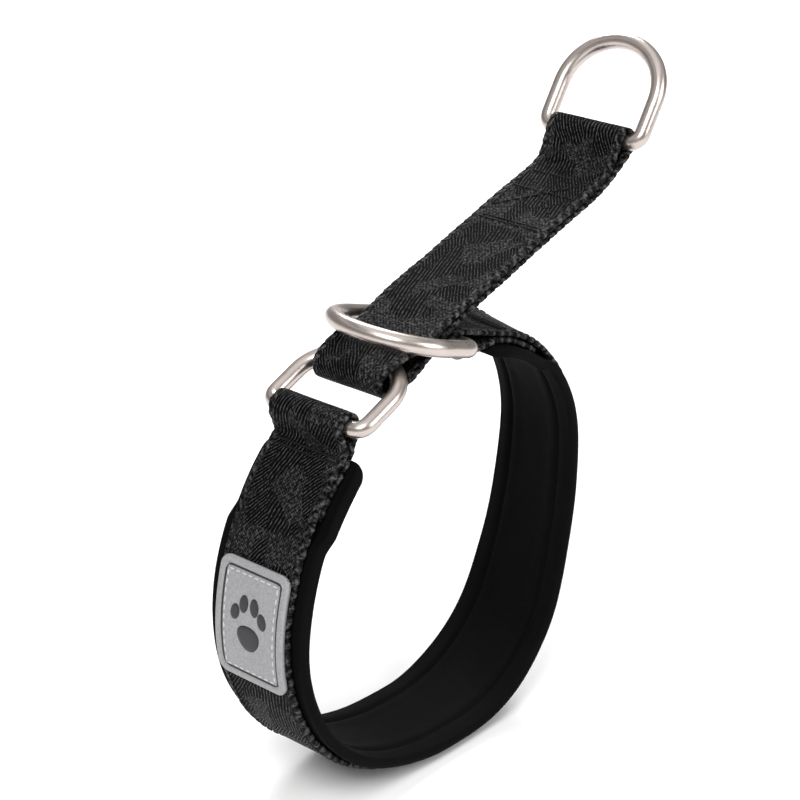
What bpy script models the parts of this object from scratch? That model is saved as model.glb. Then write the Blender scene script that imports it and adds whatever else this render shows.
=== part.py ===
"""Slip-style (limited-slip) training collar for a dog.

A padded webbing band ends in two webbing loops.  The left loop holds the joining
ring, the right loop holds the slip ring.  A doubled control strap is looped round
the joining ring, passes up through the slip ring and carries the leash ring at its
other end.  Pulling the leash ring draws the strap through the slip ring and closes
the band.

Frame: metres, +Z up.  The band lies as a hoop in the XZ plane and stands on its
lowest point, its width runs along Y.  The origin is on the floor under the middle
of the whole object's box.
"""
import math

import bmesh
import bpy
from mathutils import Matrix, Vector

MM = 0.001

# ---------------------------------------------------------------- driving sizes, mm
WEB_W = 25.0          # webbing width, the common 1 inch size
WEB_T = 1.5           # one ply of webbing
PAD_W = 32.0          # padded lining
PAD_T = 2.6
GAP = 0.3             # running gap between neighbouring pieces

HOOP_X = -10.58        # the band's lowest point, along X
HOOP_Z = WEB_T + GAP / 2
FLAT = 3.0            # half length of the flat that the band stands on
LEFT_ARCS = ((67.5, 24.0), (47.0, 71.0), (60.0, 42.0))     # radius, sweep from the flat up the left
RIGHT_ARCS = ((41.4, 67.0), (118.0, 21.0), (40.0, 84.0))   # radius, sweep from the flat up the right
TWIST = 13.0          # how far the right side leans over, degrees

PAD_LEFT = -136.0     # the lining's two ends, along the band from its lowest point
FOLD = 17.0           # length of webbing folded back and sewn at each end
HINGE_S = -47.0       # where the band flexes

WIRE_R = 2.1          # welded ring wire
JOIN_RING = dict(width=15.2, bar=(-47.88, 101.9), angle=24.0, leg=11.0, depth=22.5, roll=0.0)
SLIP_RING = dict(width=16.2, bar=(-8.78, 112.0), angle=163.0, leg=10.5, depth=25.5, roll=-2.0)
LEASH_RING = dict(width=15.2, bar=(56.92, 148.2), angle=57.0, leg=12.0, depth=26.0, roll=0.0)

STRAP_LOW = (-9.88, 118.8)    # middle of the strap where its two plies part
STRAP_TILT = 19.2             # rise of the strap, degrees
STRAP_RUN = 59.0              # length of its straight run

LABEL_S = (-104.5, -74.5)     # rubber label along the band
LABEL_W = 22.5
LABEL_T = 1.2


# ---------------------------------------------------------------- the band's curve
def _walk(side, arcs, length):
    """Point, heading and outward normal at a distance along one side of the band."""
    x, z = HOOP_X, HOOP_Z
    head = 0.0 if side > 0 else math.pi
    rest = length
    d = min(rest, FLAT)
    x += d * math.cos(head)
    rest -= d
    for radius, sweep in arcs:
        if rest <= 0:
            break
        d = min(rest, radius * math.radians(sweep))
        turn = side * d / radius
        x += side * radius * (math.sin(head + turn) - math.sin(head))
        z -= side * radius * (math.cos(head + turn) - math.cos(head))
        head += turn
        rest -= d
    if rest > 0:
        x += rest * math.cos(head)
        z += rest * math.sin(head)
    normal = Vector((math.sin(head), -math.cos(head))) * side
    return Vector((x, z)), Vector((math.cos(head), math.sin(head))) * side, normal


def side_length(arcs):
    return FLAT + sum(r * math.radians(a) for r, a in arcs)


LEFT_LEN = side_length(LEFT_ARCS)
RIGHT_LEN = side_length(RIGHT_ARCS)
PAD_RIGHT = RIGHT_LEN - 1.0


def spine(s):
    return _walk(1, RIGHT_ARCS, s) if s >= 0 else _walk(-1, LEFT_ARCS, -s)


def off(s, h):
    p, _, n = spine(s)
    return p + n * h


def twist_at(s):
    u = min(max((s - 12.0) / (RIGHT_LEN - 12.0), 0.0), 1.0)
    return math.radians(TWIST) * math.sin(0.92 * math.pi * u ** 1.4)


def steps(a, b, size):
    n = max(2, int(math.ceil(abs(b - a) / size)))
    return [a + (b - a) * i / n for i in range(n + 1)]


def band_run(a, b, h, pitch=4.2):
    """Points along the band at height h.  All pieces share one grid of stations, and
    the flat that the band stands on has one at each end."""
    grid = [sg * (FLAT + k * pitch) for sg in (-1, 1) for k in range(60)]
    lo, hi = min(a, b), max(a, b)
    inner = sorted((x for x in grid if lo + 0.8 < x < hi - 0.8), reverse=b < a)
    return [off(s, h(s) if callable(h) else h) for s in [a] + inner + [b]]


def wrap(p, centre, radius, q, turn, n=9):
    """Round a bar from p to q: turn +1 is anticlockwise, -1 is clockwise."""
    c = Vector(centre)

    def tangent(pt, sign):
        v = pt - c
        return math.atan2(v.y, v.x) + sign * math.acos(radius / v.length)

    a0, a1 = tangent(p, turn), tangent(q, -turn)
    while turn * (a1 - a0) <= 0.2:
        a1 += turn * 2 * math.pi
    return [c + Vector((math.cos(a0 + (a1 - a0) * i / n), math.sin(a0 + (a1 - a0) * i / n))) * radius
            for i in range(n + 1)]


# ---------------------------------------------------------------- modelling helpers
def material(name, rgb, rough, metal=0.0):
    m = bpy.data.materials.new(name)
    m.use_nodes = True
    b = m.node_tree.nodes["Principled BSDF"]
    b.inputs["Base Color"].default_value = (*rgb, 1)
    b.inputs["Roughness"].default_value = rough
    b.inputs["Metallic"].default_value = metal
    m.diffuse_color = (*rgb, 1)
    return m


def outline(points, thick):
    """Closed outline of a strip of even thickness along a line of points."""
    left, right = [], []
    for i, p in enumerate(points):
        a = (p - points[i - 1]).normalized() if i else None
        b = (points[i + 1] - p).normalized() if i + 1 < len(points) else None
        a = a or b
        b = b or a
        na, nb = Vector((-a.y, a.x)), Vector((-b.y, b.x))
        m = (na + nb).normalized()
        k = thick / 2 / max(m.dot(na), 0.5)
        left.append(p + m * k)
        right.append(p - m * k)
    return left + right[::-1]


def extruded(name, loop, y0, y1, mat, coll):
    """A flat outline in the XZ plane made into a solid between two Y planes."""
    cu = bpy.data.curves.new(name, "CURVE")
    cu.dimensions = "2D"
    cu.fill_mode = "BOTH"
    cu.extrude = abs(y1 - y0) / 2 * MM
    sp = cu.splines.new("POLY")
    sp.points.add(len(loop) - 1)
    for pt, co in zip(sp.points, loop):
        pt.co = (co.x * MM, co.y * MM, 0, 1)
    sp.use_cyclic_u = True
    tmp = bpy.data.objects.new(name + "_outline", cu)
    coll.objects.link(tmp)
    tmp.location = (0, (y0 + y1) / 2 * MM, 0)
    tmp.rotation_euler = (math.radians(90), 0, 0)
    bpy.context.view_layer.update()
    me = bpy.data.meshes.new_from_object(tmp.evaluated_get(bpy.context.evaluated_depsgraph_get()))
    me.name = name
    me.transform(tmp.matrix_world)
    bpy.data.objects.remove(tmp)
    bpy.data.curves.remove(cu)
    bm = bmesh.new()
    bm.from_mesh(me)
    bmesh.ops.remove_doubles(bm, verts=bm.verts, dist=1e-6)
    bmesh.ops.recalc_face_normals(bm, faces=bm.faces)
    bm.to_mesh(me)
    bm.free()
    ob = bpy.data.objects.new(name, me)
    me.materials.clear()
    me.materials.append(mat)
    coll.objects.link(ob)
    return ob


SPINE_TABLE = [(s, *spine(s)) for s in steps(0.0, RIGHT_LEN + 14.0, 2.0)]


def lean_point(co):
    """Lean one point of the band's right side over about the band's own length."""
    p = Vector((co.x, co.z)) / MM
    s, c, t, n = min(SPINE_TABLE, key=lambda row: (row[1] - p).length_squared)
    along = (p - c).dot(t)
    if s + along <= 0 or p.x < HOOP_X and p.y < 60:
        return co.copy()
    base, tan, nor = spine(s + along)
    a = twist_at(s + along)
    h, y = (p - base).dot(nor), co.y / MM
    q = base + nor * (h * math.cos(a) + y * math.sin(a))
    return Vector((q.x, y * math.cos(a) - h * math.sin(a), q.y)) * MM


def lean(ob):
    """Lean a piece of the band; a cut along its middle keeps its broad faces even."""
    bm = bmesh.new()
    bm.from_mesh(ob.data)
    bmesh.ops.bisect_plane(bm, geom=bm.verts[:] + bm.edges[:] + bm.faces[:], dist=1e-7,
                           plane_co=(0, 0, 0), plane_no=(0, 1, 0))
    for v in bm.verts:
        v.co = lean_point(v.co)
    bm.to_mesh(ob.data)
    bm.free()
    return ob


def ring(name, spec, mat, coll):
    """A welded D-ring of round wire; its object origin is the middle of its bar."""
    width, leg, depth = spec["width"], spec["leg"], spec["depth"]
    corner = 2.6
    pts = []
    for k in range(5):
        a = math.radians(90 * k / 4)
        pts.append((-width + corner - corner * math.sin(a), corner - corner * math.cos(a)))
    for k in range(1, 18):
        a = math.pi * k / 18
        pts.append((-width * math.cos(a), leg + (depth - leg) * math.sin(a)))
    pts += [(-x, q) for x, q in reversed(pts[:5])]
    pts.insert(5, (-width, leg))
    pts.insert(len(pts) - 5, (width, leg))
    cu = bpy.data.curves.new(name, "CURVE")
    cu.dimensions = "3D"
    cu.bevel_depth = WIRE_R * MM
    cu.bevel_resolution = 3
    sp = cu.splines.new("POLY")
    sp.points.add(len(pts) - 1)
    for pt, (w, q) in zip(sp.points, pts):
        pt.co = (q * MM, w * MM, 0, 1)
    sp.use_cyclic_u = True
    ob = bpy.data.objects.new(name, cu)
    cu.materials.append(mat)
    coll.objects.link(ob)
    x, z = spec["bar"]
    ob.matrix_world = (Matrix.Translation(Vector((x, 0, z)) * MM)
                       @ Matrix.Rotation(-math.radians(spec["angle"]), 4, "Y")
                       @ Matrix.Rotation(math.radians(spec["roll"]), 4, "X"))
    return ob


def thread(name, points, radius, mat, coll, closed=False):
    """A run of sewing thread lying on the cloth, as one thin cord."""
    cu = bpy.data.curves.new(name, "CURVE")
    cu.dimensions = "3D"
    cu.bevel_depth = radius * MM
    cu.bevel_resolution = 0
    cu.use_fill_caps = True
    sp = cu.splines.new("POLY")
    sp.points.add(len(points) - 1)
    for pt, co in zip(sp.points, points):
        pt.co = (*(co * MM), 1)
    sp.use_cyclic_u = closed
    ob = bpy.data.objects.new(name, cu)
    cu.materials.append(mat)
    coll.objects.link(ob)
    return ob


# ---------------------------------------------------------------- clean scene
for o in list(bpy.data.objects):
    bpy.data.objects.remove(o, do_unlink=True)
parts = bpy.data.collections.new("slip_collar")
bpy.context.scene.collection.children.link(parts)

black_web = material("black_webbing", (0.022, 0.022, 0.024), 0.75)
black_pad = material("black_neoprene", (0.012, 0.012, 0.013), 0.85)
steel = material("satin_steel", (0.62, 0.58, 0.54), 0.28, 1.0)
rubber = material("grey_rubber", (0.42, 0.43, 0.44), 0.55)
rubber_dark = material("dark_rubber", (0.05, 0.05, 0.055), 0.5)
thread_mat = material("black_thread", (0.03, 0.03, 0.032), 0.6)
thread_light = material("light_thread", (0.6, 0.6, 0.6), 0.6)

# ---------------------------------------------------------------- the band
H_WEB = GAP / 2 + WEB_T / 2              # middle of the outer ply, out from the band's curve
H_FOLD = H_WEB - WEB_T - GAP             # middle of the folded-back ply


def pad_outer(s):
    """The lining's outer face: it steps in under the folded-back plies."""
    inset = 0.0
    for end, sgn in ((PAD_LEFT, 1), (PAD_RIGHT, -1)):
        d = (s - end) * sgn
        k = min(max((FOLD + 8.0 - d) / 6.0, 0.0), 1.0)
        inset = max(inset, (WEB_T + GAP) * (3 * k * k - 2 * k ** 3))
    return -GAP / 2 - inset


def pad_mid(s):
    return pad_outer(s) - PAD_T / 2


cut = GAP / 2
R_LOOP = WIRE_R + GAP + WEB_T / 2 + 0.1

# left half: folded back, round the joining ring's bar, down to the flex point
bar = JOIN_RING["bar"]
back = band_run(PAD_LEFT + FOLD, PAD_LEFT, H_FOLD)
front = band_run(PAD_LEFT, HINGE_S - cut, H_WEB)
loop_l = back + wrap(back[-1], bar, R_LOOP, front[0], 1) + front
webbing_left = extruded("webbing_left", outline(loop_l, WEB_T), -WEB_W / 2, WEB_W / 2, black_web, parts)
lining_left = extruded("lining_left", outline(band_run(PAD_LEFT, HINGE_S - cut, pad_mid), PAD_T),
                       -PAD_W / 2, PAD_W / 2, black_pad, parts)

# main half: the bottom and the right side, round the slip ring's bar and back
bar = SLIP_RING["bar"]
front = band_run(HINGE_S + cut, PAD_RIGHT, H_WEB)
back = band_run(PAD_RIGHT, PAD_RIGHT - FOLD, H_FOLD)
loop_r = front + wrap(front[-1], bar, R_LOOP, back[0], 1) + back
webbing_main = lean(extruded("webbing_main", outline(loop_r, WEB_T), -WEB_W / 2, WEB_W / 2, black_web, parts))
lining_main = lean(extruded("lining_main", outline(band_run(HINGE_S + cut, PAD_RIGHT - 3.0, pad_mid), PAD_T),
                            -PAD_W / 2, PAD_W / 2, black_pad, parts))

# ---------------------------------------------------------------- the rings
ring("joining_ring", JOIN_RING, steel, parts)
ring("slip_ring", SLIP_RING, steel, parts)
ring("leash_ring", LEASH_RING, steel, parts)

# ---------------------------------------------------------------- the control strap
PLY = (WEB_T + GAP) / 2
tilt = math.radians(STRAP_TILT)
d = Vector((math.cos(tilt), math.sin(tilt)))
n = Vector((-d.y, d.x))
low = Vector(STRAP_LOW)
top = low + d * STRAP_RUN
leash_bar = Vector(LEASH_RING["bar"])
ja = math.radians(JOIN_RING["angle"])
jd, jn = Vector((math.cos(ja), math.sin(ja))), Vector((-math.sin(ja), math.cos(ja)))
apex = Vector(JOIN_RING["bar"]) + jd * JOIN_RING["depth"]
fold_c = Vector(JOIN_RING["bar"]) + jd * 15.8
R_FOLD = WIRE_R + GAP + WEB_T / 2 + 0.2
press = apex + jn * (R_FOLD - 0.35) + Vector((7.0, 0.7))
upper = [apex + jn * (R_FOLD-0.15), press, low + n * PLY] + [low + d * t + n * PLY for t in steps(0, STRAP_RUN, 9.0)[1:]]
knee = (leash_bar - top).normalized()
knee = (d + knee * 0.9).normalized()
kn = Vector((-knee.y, knee.x))
upper.append(top + d * 1.5 + knee * 4.0 + kn * PLY)
lower = [top + d * 1.5 + knee * 4.0 - kn * PLY] + [low + d * t - n * PLY for t in steps(STRAP_RUN, 0, 9.0)] + [apex - jn * (R_FOLD + 0.2)]
strap_path = (wrap(lower[-1], fold_c, R_FOLD, upper[0], -1)[4:] + upper
              + wrap(upper[-1], leash_bar, R_LOOP, lower[0], -1) + lower
              + wrap(lower[-1], fold_c, R_FOLD, upper[0], -1)[:4])
strap = extruded("control_strap", outline(strap_path, WEB_T), -WEB_W / 2, WEB_W / 2, black_web, parts)

# ---------------------------------------------------------------- the label
h0 = H_WEB + WEB_T / 2 + GAP
s_mid = (LABEL_S[0] + LABEL_S[1]) / 2
extruded("label_base", outline(band_run(LABEL_S[0], LABEL_S[1], h0 + LABEL_T / 2, 2.1), LABEL_T),
         -LABEL_W / 2, LABEL_W / 2, rubber, parts)


def on_label(u, w, h):
    """A point on the label: u up the band and w across it from the middle, h above its face."""
    p = off(s_mid - u, h0 + LABEL_T + h)
    return Vector((p.x, w, p.y))


def rounded_rect(hu, hw, r, per=4):
    pts = []
    for cu, cw, a0 in ((hu - r, hw - r, 0), (-hu + r, hw - r, 90), (-hu + r, -hw + r, 180), (hu - r, -hw + r, 270)):
        pts += [(cu + r * math.cos(math.radians(a0 + 90 * k / per)),
                 cw + r * math.sin(math.radians(a0 + 90 * k / per))) for k in range(per + 1)]
    out = []
    for p, q in zip(pts, pts[1:] + pts[:1]):
        m = max(1, int(math.hypot(q[0] - p[0], q[1] - p[1]) / 4.5))
        out += [(p[0] + (q[0] - p[0]) * k / m, p[1] + (q[1] - p[1]) * k / m) for k in range(m)]
    return out


hu = (LABEL_S[1] - LABEL_S[0]) / 2
rim = thread("label_rim", [on_label(u, w, GAP + 0.4) for u, w in rounded_rect(hu - 1.0, LABEL_W / 2 - 1.0, 2.2)],
             0.4, rubber, parts, closed=True)
thread("label_stitching", [on_label(u, w, GAP + 0.25) for u, w in rounded_rect(hu - 3.0, LABEL_W / 2 - 3.0, 1.4)],
       0.25, thread_light, parts, closed=True)


def pad_disc(u, w, ru, rw, turn):
    """One raised pad of the label's paw mark, a low cone standing on the label."""
    bm = bmesh.new()
    bmesh.ops.create_cone(bm, cap_ends=True, segments=14, radius1=1.0, radius2=0.8, depth=0.5)
    p = on_label(u, w, GAP + 0.3)
    nor = spine(s_mid - u)[2]
    z = Vector((nor.x, 0, nor.y))
    y = Vector((0, 1, 0))
    x = y.cross(z)
    frame = Matrix((x, y, z)).transposed().to_4x4()
    m = (Matrix.Translation(p) @ frame @ Matrix.Rotation(math.radians(turn), 4, "Z")
         @ Matrix.Diagonal((ru, rw, 1.0, 1.0)))
    bmesh.ops.transform(bm, matrix=Matrix.Scale(MM, 4) @ m, verts=bm.verts)
    return bm


for name, spec in (("label_paw_pad", (-3.0, 0.0, 3.2, 3.9, 0)), ("label_paw_toe_1", (2.4, -4.3, 2.1, 1.5, 18)),
                   ("label_paw_toe_2", (5.0, -1.6, 2.3, 1.5, 6)), ("label_paw_toe_3", (5.0, 1.9, 2.3, 1.5, -6)),
                   ("label_paw_toe_4", (2.4, 4.6, 2.1, 1.5, -18))):
    one = pad_disc(*spec)
    me = bpy.data.meshes.new(name)
    bmesh.ops.recalc_face_normals(one, faces=one.faces)
    one.to_mesh(me)
    one.free()
    me.materials.append(rubber_dark)
    parts.objects.link(bpy.data.objects.new(name, me))

# ---------------------------------------------------------------- sewing
# bar tacks across the folded ends, on the outer ply
TACK = 0.5


def tack(name, s0, s1, mat=thread_mat):
    h = H_WEB + WEB_T / 2 + GAP + TACK / 2
    return extruded(name, outline(band_run(s0, s1, h), TACK), -WEB_W / 2 + 2.5, WEB_W / 2 - 2.5, mat, parts)


tack("left_loop_bartack", PAD_LEFT + 1.5, PAD_LEFT + 4.5)
lean(tack("right_loop_bartack", PAD_RIGHT - 4.5, PAD_RIGHT - 1.5))


def strap_tack(name, t0, t1, y0, y1):
    o = PLY + WEB_T / 2 + GAP + TACK / 2
    pts = [low + d * t + n * o for t in (t0, (t0 + t1) / 2, t1)]
    return extruded(name, outline(pts, TACK), y0, y1, thread_mat, parts)


strap_tack("strap_lower_bartack", 34.0, 37.0, -WEB_W / 2 + 2.5, WEB_W / 2 - 2.5)
strap_tack("strap_upper_bartack", 49.0, 52.0, -WEB_W / 2 + 2.5, WEB_W / 2 - 2.5)


# rows of stitching that hold the webbing down on the lining, one near each edge
def edge_row(name, a, b, y, leaned):
    h = H_WEB + WEB_T / 2 + GAP + 0.22
    pts = []
    for q in band_run(a, b, h):
        pts.append(Vector((q.x, y, q.y)))
    ob = thread(name, pts, 0.22, thread_mat, parts)
    if leaned:
        for pt in ob.data.splines[0].points:
            x, _, z, _ = pt.co
            g = lean_point(Vector((x, y * MM, z)))
            pt.co = (*g, 1)


for side, y in (("near", -10.0), ("far", 10.0)):
    edge_row("edge_stitching_left_upper_" + side, PAD_LEFT + 6.0, LABEL_S[0] - 1.0, y, False)
    edge_row("edge_stitching_left_lower_" + side, LABEL_S[1] + 1.0, HINGE_S - 1.0, y, False)
    edge_row("edge_stitching_main_" + side, HINGE_S + 1.0, -24.0, y, False)
    edge_row("edge_stitching_right_" + side, 20.0, PAD_RIGHT - 6.0, y, True)
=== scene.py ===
"""Looks for the slip collar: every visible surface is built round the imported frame."""
import math

import bmesh
import bpy
import numpy as np
from mathutils import Matrix, Vector, noise


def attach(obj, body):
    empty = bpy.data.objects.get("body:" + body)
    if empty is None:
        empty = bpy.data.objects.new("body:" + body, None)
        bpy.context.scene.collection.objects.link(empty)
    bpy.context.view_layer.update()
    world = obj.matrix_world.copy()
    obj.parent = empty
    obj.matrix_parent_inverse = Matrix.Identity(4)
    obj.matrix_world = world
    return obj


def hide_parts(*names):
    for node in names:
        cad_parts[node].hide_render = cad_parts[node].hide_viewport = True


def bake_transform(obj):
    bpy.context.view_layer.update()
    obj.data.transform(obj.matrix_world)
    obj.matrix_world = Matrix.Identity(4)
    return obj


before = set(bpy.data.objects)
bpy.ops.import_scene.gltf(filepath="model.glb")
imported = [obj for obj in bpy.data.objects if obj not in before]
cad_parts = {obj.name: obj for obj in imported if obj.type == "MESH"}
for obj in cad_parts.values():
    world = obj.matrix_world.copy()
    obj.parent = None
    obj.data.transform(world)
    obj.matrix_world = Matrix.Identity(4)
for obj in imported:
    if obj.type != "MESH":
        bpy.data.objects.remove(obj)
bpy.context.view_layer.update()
MM = 0.001

# ------------------------------------------------------------------ the design, in mm
WEB_W, WEB_T = 25.0, 1.5
PAD_W, PAD_T = 32.0, 2.6
GAP = 0.3
HOOP_X, HOOP_Z = -10.58, WEB_T + GAP / 2
FLAT = 3.0
LEFT_ARCS = ((67.5, 24.0), (47.0, 71.0), (60.0, 42.0))
RIGHT_ARCS = ((41.4, 67.0), (118.0, 21.0), (40.0, 84.0))
TWIST = 13.0
PAD_LEFT = -136.0
FOLD = 17.0
HINGE_S = -47.0
WIRE_R = 2.1
JOIN_RING = dict(width=15.2, bar=(-47.88, 101.9), angle=24.0, leg=11.0, depth=22.5, roll=0.0)
SLIP_RING = dict(width=16.2, bar=(-8.78, 112.0), angle=163.0, leg=10.5, depth=25.5, roll=-2.0)
LEASH_RING = dict(width=15.2, bar=(56.92, 148.2), angle=57.0, leg=12.0, depth=26.0, roll=0.0)
STRAP_LOW = (-9.88, 118.8)
STRAP_TILT = 19.2
STRAP_RUN = 59.0
LABEL_S = (-104.5, -74.5)
LABEL_W = 22.5
LABEL_T = 1.2


def _walk(side, arcs, length):
    x, z = HOOP_X, HOOP_Z
    head = 0.0 if side > 0 else math.pi
    rest = length
    d = min(rest, FLAT)
    x += d * math.cos(head)
    rest -= d
    for radius, sweep in arcs:
        if rest <= 0:
            break
        d = min(rest, radius * math.radians(sweep))
        turn = side * d / radius
        x += side * radius * (math.sin(head + turn) - math.sin(head))
        z -= side * radius * (math.cos(head + turn) - math.cos(head))
        head += turn
        rest -= d
    if rest > 0:
        x += rest * math.cos(head)
        z += rest * math.sin(head)
    return (x, z), (math.cos(head) * side, math.sin(head) * side), (math.sin(head) * side, -math.cos(head) * side)


def side_length(arcs):
    return FLAT + sum(r * math.radians(a) for r, a in arcs)


LEFT_LEN, RIGHT_LEN = side_length(LEFT_ARCS), side_length(RIGHT_ARCS)
PAD_RIGHT = RIGHT_LEN - 1.0


def spine(s):
    return _walk(1, RIGHT_ARCS, s) if s >= 0 else _walk(-1, LEFT_ARCS, -s)


def off(s, h):
    p, _, n = spine(s)
    return np.array((p[0] + n[0] * h, p[1] + n[1] * h))


def twist_at(s):
    u = np.clip((np.asarray(s) - 12.0) / (RIGHT_LEN - 12.0), 0.0, 1.0)
    return math.radians(TWIST) * np.sin(0.92 * math.pi * u ** 1.4)


TABLE_S = np.arange(0.0, RIGHT_LEN + 16.0, 1.0)
_rows = [spine(float(s)) for s in TABLE_S]
TABLE_P = np.array([r[0] for r in _rows])
TABLE_T = np.array([r[1] for r in _rows])
TABLE_N = np.array([r[2] for r in _rows])


def lean(V):
    """V: N x 3 in mm.  Leans the band's right side over about its own length."""
    V = np.array(V, float)
    p = V[:, [0, 2]]
    d2 = ((p[:, None, :] - TABLE_P[None]) ** 2).sum(-1)
    i = d2.argmin(1)
    along = ((p - TABLE_P[i]) * TABLE_T[i]).sum(1)
    s = TABLE_S[i] + along
    base = TABLE_P[i] + TABLE_T[i] * along[:, None]
    n = TABLE_N[i]
    a = twist_at(s)
    h = ((p - base) * n).sum(1)
    y = V[:, 1]
    h2 = h * np.cos(a) + y * np.sin(a)
    y2 = y * np.cos(a) - h * np.sin(a)
    q = base + n * h2[:, None]
    skip = (s <= 0) | ((p[:, 0] < HOOP_X) & (p[:, 1] < 60)) | (p[:, 0] < -30)
    out = np.stack([q[:, 0], y2, q[:, 1]], 1)
    out[skip] = V[skip]
    return out


def band_point(s, h, y):
    q = off(s, h)
    return lean([(q[0], y, q[1])])[0]


def smooth01(x):
    x = np.clip(x, 0.0, 1.0)
    return x * x * (3 - 2 * x)


def pad_outer(s):
    inset = 0.0
    for end, sgn in ((PAD_LEFT, 1), (PAD_RIGHT, -1)):
        d = (s - end) * sgn
        inset = max(inset, (WEB_T + GAP) * float(smooth01((FOLD + 8.0 - d) / 6.0)))
    return -GAP / 2 - inset


def wrap(p, centre, radius, q, turn, n=40):
    c = np.array(centre, float)

    def tangent(pt, sign):
        v = np.array(pt) - c
        return math.atan2(v[1], v[0]) + sign * math.acos(radius / np.linalg.norm(v))

    a0, a1 = tangent(p, turn), tangent(q, -turn)
    while turn * (a1 - a0) <= 0.2:
        a1 += turn * 2 * math.pi
    return [c + np.array((math.cos(a0 + (a1 - a0) * i / n), math.sin(a0 + (a1 - a0) * i / n))) * radius
            for i in range(n + 1)]


def resample(points, step, closed=False):
    P = np.array(points, float)
    if closed:
        P = np.vstack([P, P[:1]])
    keep = [0]
    for i in range(1, len(P)):
        if np.linalg.norm(P[i] - P[keep[-1]]) > 1e-6:
            keep.append(i)
    P = P[keep]
    L = np.concatenate([[0], np.cumsum(np.linalg.norm(np.diff(P, axis=0), axis=1))])
    n = max(4, int(round(L[-1] / step)))
    t = np.linspace(0, L[-1], n + 1)
    Q = np.stack([np.interp(t, L, P[:, k]) for k in range(P.shape[1])], 1)
    return (Q[:-1] if closed else Q), t[: len(Q) - (1 if closed else 0)] if closed else t


def gauss(Q, sigma, closed=False):
    """Smooth a line of evenly spaced points; sigma counts points."""
    r = int(3 * sigma) + 1
    k = np.exp(-0.5 * (np.arange(-r, r + 1) / sigma) ** 2)
    k /= k.sum()
    if closed:
        E = np.vstack([Q[-r:], Q, Q[:r]])
    else:
        E = np.vstack([2 * Q[0] - Q[r:0:-1], Q, 2 * Q[-1] - Q[-2:-r - 2:-1]])
    return np.stack([np.convolve(E[:, j], k, "valid") for j in range(Q.shape[1])], 1)


def new_object(name, verts, faces, mats, uvs=None, smooth=True):
    """verts in mm; uvs: one pair per vertex, in units of 100 mm."""
    me = bpy.data.meshes.new(name)
    me.from_pydata([tuple(v) for v in np.asarray(verts) * MM], [], [tuple(int(i) for i in f) for f in faces])
    me.update()
    if uvs is not None:
        layer = me.uv_layers.new(name="UVMap")
        idx = np.empty(len(me.loops), dtype=np.int32)
        me.loops.foreach_get("vertex_index", idx)
        layer.data.foreach_set("uv", np.asarray(uvs, dtype=np.float32)[idx].ravel())
    for m in (mats if isinstance(mats, (list, tuple)) else [mats]):
        me.materials.append(m)
    if smooth:
        me.shade_smooth()
    ob = bpy.data.objects.new(name, me)
    bpy.context.scene.collection.objects.link(ob)
    return ob


# ------------------------------------------------------------------ materials
class G:
    """A small helper for building node trees."""

    def __init__(self, name):
        self.m = bpy.data.materials.new(name)
        self.m.use_nodes = True
        self.t = self.m.node_tree
        self.b = self.t.nodes["Principled BSDF"]

    def node(self, kind, **props):
        n = self.t.nodes.new(kind)
        for k, v in props.items():
            setattr(n, k, v)
        return n

    def put(self, socket, value):
        if isinstance(value, bpy.types.NodeSocket):
            self.t.links.new(value, socket)
        else:
            socket.default_value = value

    def math(self, op, a, b=0.0, c=0.0, clamp=False):
        n = self.node("ShaderNodeMath", operation=op, use_clamp=clamp)
        self.put(n.inputs[0], a)
        self.put(n.inputs[1], b)
        self.put(n.inputs[2], c)
        return n.outputs[0]

    def vec(self, x, y, z=0.0):
        n = self.node("ShaderNodeCombineXYZ")
        for s, v in zip(n.inputs, (x, y, z)):
            self.put(s, v)
        return n.outputs[0]

    def noise(self, vector, scale=1.0, detail=2.0, rough=0.5, dist=0.0):
        n = self.node("ShaderNodeTexNoise")
        self.put(n.inputs["Vector"], vector)
        n.inputs["Scale"].default_value = scale
        n.inputs["Detail"].default_value = detail
        n.inputs["Roughness"].default_value = rough
        n.inputs["Distortion"].default_value = dist
        return n.outputs["Fac"]

    def mix(self, f, a, b):
        n = self.node("ShaderNodeMix", data_type="FLOAT")
        self.put(n.inputs[0], f)
        self.put(n.inputs[2], a)
        self.put(n.inputs[3], b)
        return n.outputs[0]

    def colour(self, f, a, b):
        n = self.node("ShaderNodeMix", data_type="RGBA")
        self.put(n.inputs[0], f)
        self.put(n.inputs[6], (*a, 1) if isinstance(a, tuple) else a)
        self.put(n.inputs[7], (*b, 1) if isinstance(b, tuple) else b)
        return n.outputs[2]

    def band(self, x, lo, hi):
        n = self.node("ShaderNodeMapRange", interpolation_type="SMOOTHSTEP")
        self.put(n.inputs[0], x)
        n.inputs[1].default_value = lo
        n.inputs[2].default_value = hi
        return n.outputs[0]

    def bump(self, height, dist, strength=1.0):
        n = self.node("ShaderNodeBump")
        n.inputs["Strength"].default_value = strength
        n.inputs["Distance"].default_value = dist
        self.put(n.inputs["Height"], height)
        self.t.links.new(n.outputs[0], self.b.inputs["Normal"])

    def uv(self):
        n = self.node("ShaderNodeUVMap", uv_map="UVMap")
        s = self.node("ShaderNodeSeparateXYZ")
        self.t.links.new(n.outputs[0], s.inputs[0])
        return self.math("MULTIPLY", s.outputs[0], 100.0), self.math("MULTIPLY", s.outputs[1], 100.0)

    def object_mm(self):
        n = self.node("ShaderNodeTexCoord")
        v = self.node("ShaderNodeVectorMath", operation="SCALE")
        self.t.links.new(n.outputs["Object"], v.inputs[0])
        v.inputs["Scale"].default_value = 1000.0
        return v.outputs[0]

    def principled(self, **kw):
        for k, v in kw.items():
            self.b.inputs[k.replace("_", " ")].default_value = v


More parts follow.
